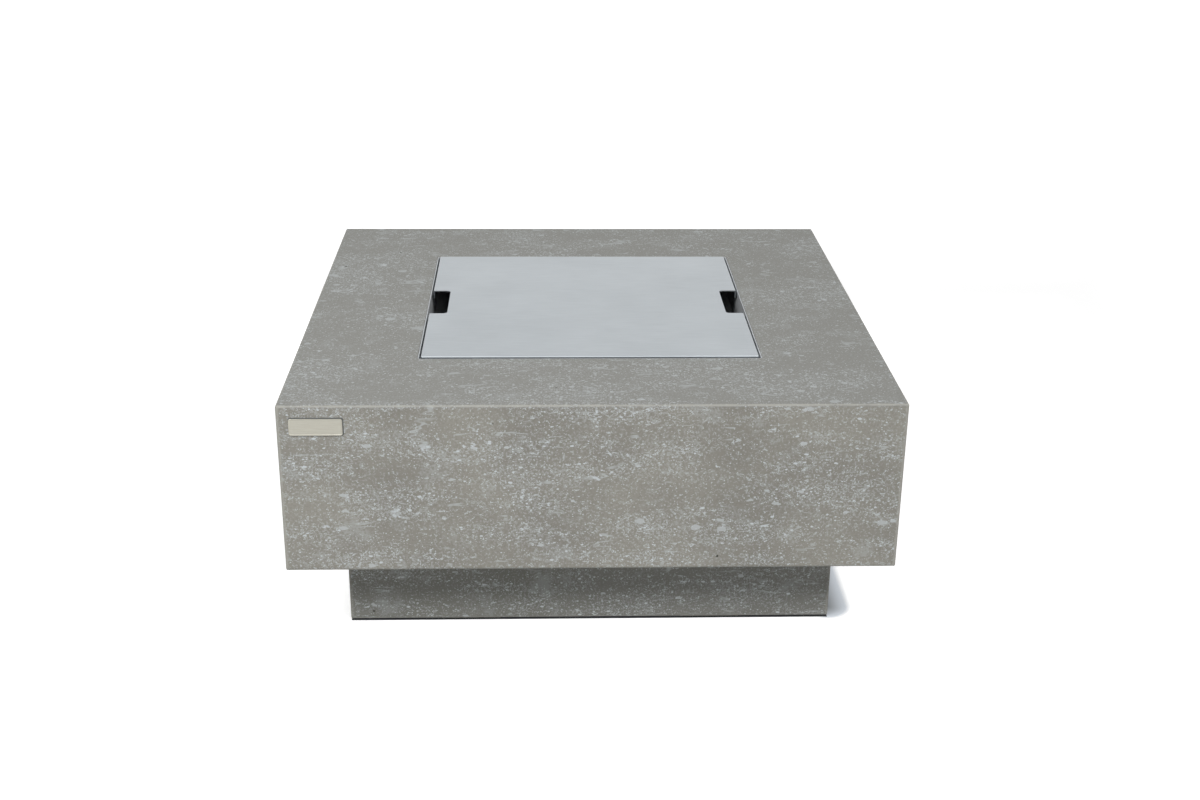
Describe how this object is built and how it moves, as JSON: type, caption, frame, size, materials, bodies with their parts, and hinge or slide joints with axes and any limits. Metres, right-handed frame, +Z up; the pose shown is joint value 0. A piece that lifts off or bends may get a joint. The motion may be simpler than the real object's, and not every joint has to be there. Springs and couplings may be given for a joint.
{
  "type": "fire pit table",
  "caption": "Square cast fire pit table on a set-back plinth, with a lift-off steel lid over a burner pan, and a gas knob and igniter in a side niche.",
  "frame": {"origin": "on the floor, under the centre of the table", "axes": "+Z up; -Y is the front with the badge plate; +X is the side with the gas control"},
  "size_m": [0.9275, 0.9216, 0.4025],
  "materials": {
    "concrete": "cast warm grey concrete with fine pale flecks",
    "stainless": "satin brushed stainless sheet",
    "nickel": "satin nickel plate, blank",
    "zinc_steel": "zinc-plated steel",
    "hose_steel": "ribbed stainless hose",
    "brass": "turned and forged brass",
    "copper": "dull copper",
    "rubber": "matte black rubber",
    "black_plastic": "moulded black heat-resistant plastic",
    "battery_jacket": "plain grey jacket",
    "ceramic": "unglazed white ceramic",
    "lead_sleeve": "silicone sleeve",
    "lava": "porous dark lava rock"
  },
  "bodies": {
    "base": {"table_shell": "concrete", "plinth": "concrete", "foot_pads": "rubber", "angle_brackets": "zinc_steel", "bracket_bolts": "zinc_steel", "badge_plate": "nickel", "fire_pan": "stainless", "lid_rests": "stainless", "pan_straps": "zinc_steel", "strap_bolts": "zinc_steel", "burner": "stainless", "burner_nipple": "zinc_steel", "burner_lock_nut": "zinc_steel", "air_mixer": "zinc_steel", "orifice_elbow": "brass", "burner_hose": "hose_steel", "supply_hose": "rubber", "hose_nuts": "brass", "inlet_fitting": "brass", "inlet_lock_nut": "brass", "control_panel": "stainless", "panel_screws": "zinc_steel", "gas_valve": "brass", "valve_nut": "zinc_steel", "knob_bezel": "stainless", "igniter_body": "black_plastic", "igniter_nut": "black_plastic", "igniter_battery": "battery_jacket", "sensor_bracket": "stainless", "sensor_rivets": "zinc_steel", "electrode_insulator": "ceramic", "electrode_tip": "zinc_steel", "flame_sensor": "copper", "ignition_lead": "lead_sleeve", "sensor_lead": "copper", "lava_rocks": "lava"},
    "lid": {"lid": "stainless"},
    "valve_plug": {"valve_plug": "brass"},
    "knob": {"valve_stem": "zinc_steel", "control_knob": "black_plastic"},
    "igniter_button": {"igniter_button": "black_plastic"}
  },
  "joints": [
    {"name": "lid_lift", "type": "slide", "parent": "base", "child": "lid", "axis": [0, 0, 1], "range_m": [0, 0.25]},
    {"name": "knob_turn", "type": "hinge", "parent": "base", "child": "valve_plug", "pos_m": [0.41, -0.034, 0.262], "axis": [1, 0, 0], "range_deg": [0, 180]},
    {"name": "knob_push", "type": "slide", "parent": "valve_plug", "child": "knob", "axis": [-1, 0, 0], "range_m": [0, 0.0035], "stiffness_N_per_m": 1000, "springref_m": -0.002},
    {"name": "igniter_press", "type": "slide", "parent": "base", "child": "igniter_button", "axis": [-1, 0, 0], "range_m": [0, 0.004], "stiffness_N_per_m": 600, "springref_m": -0.002}
  ]
}
